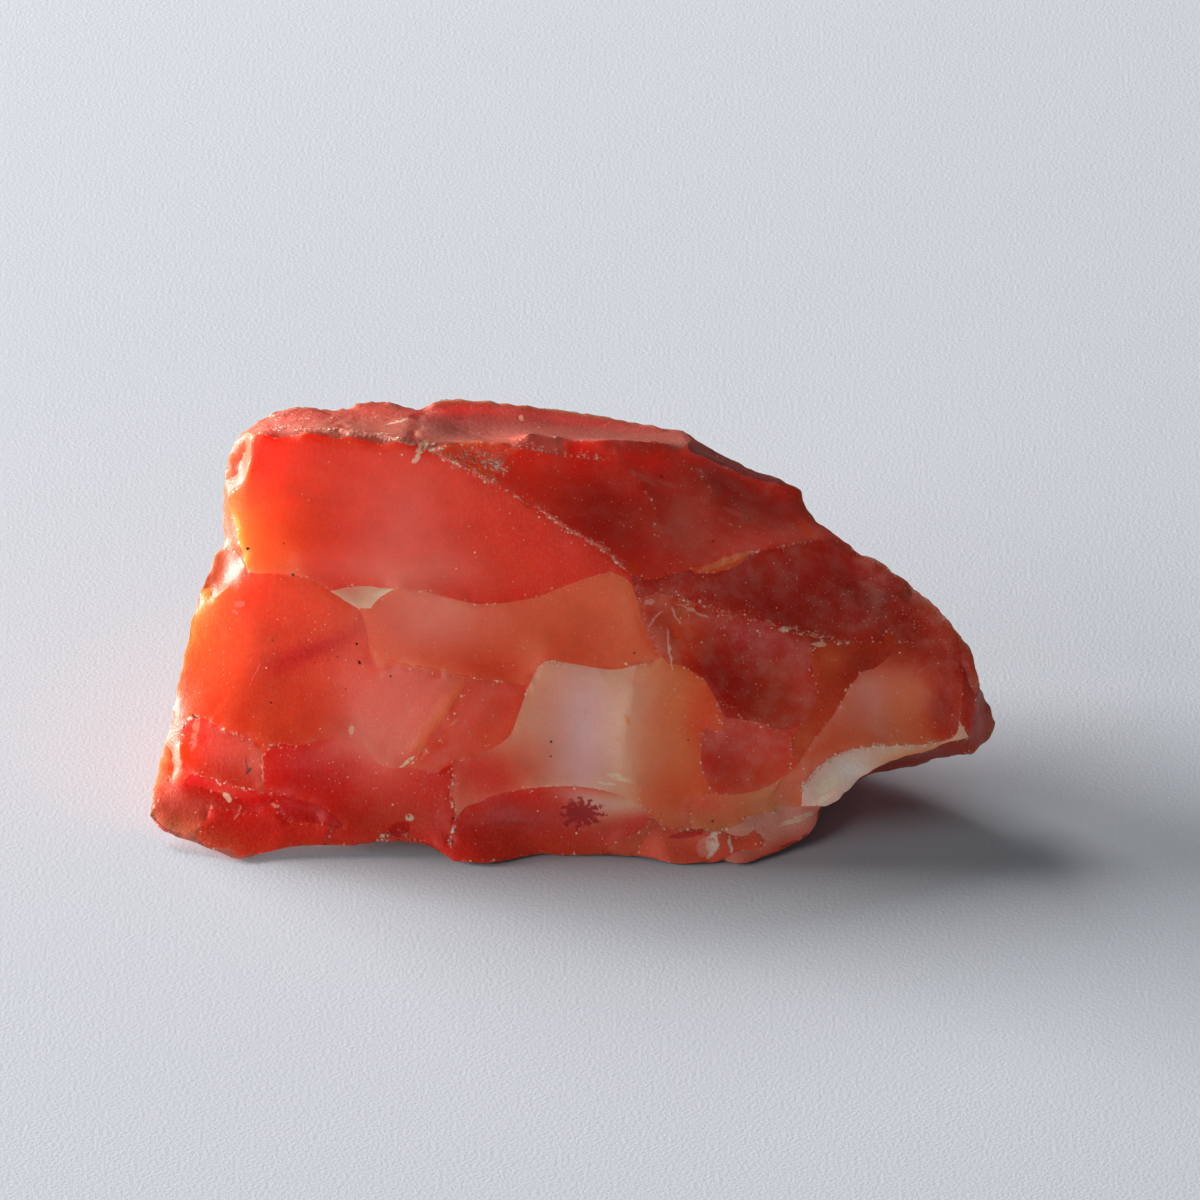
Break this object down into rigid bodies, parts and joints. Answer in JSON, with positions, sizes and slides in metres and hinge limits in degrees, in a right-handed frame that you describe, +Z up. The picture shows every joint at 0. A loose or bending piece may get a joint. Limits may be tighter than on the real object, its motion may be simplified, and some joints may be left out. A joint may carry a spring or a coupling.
{
  "type": "rough carnelian",
  "caption": "Rough chunk of translucent orange-red carnelian with conchoidal flake scars, crushed ridges, a thin pale lip and a small flat to rest on.",
  "frame": {"origin": "under the middle of the bounding box, on the plane that the stone rests on", "axes": "+X along the length towards the narrow end, +Y from the broad front face to the back, +Z up"},
  "size_m": [0.0422, 0.0214, 0.0184],
  "materials": {
    "carnelian": "waxy satin, translucent orange to deep red, frosted on top, whitish on crushed ridges"
  },
  "bodies": {
    "root": {"carnelian": "carnelian"}
  },
  "joints": []
}
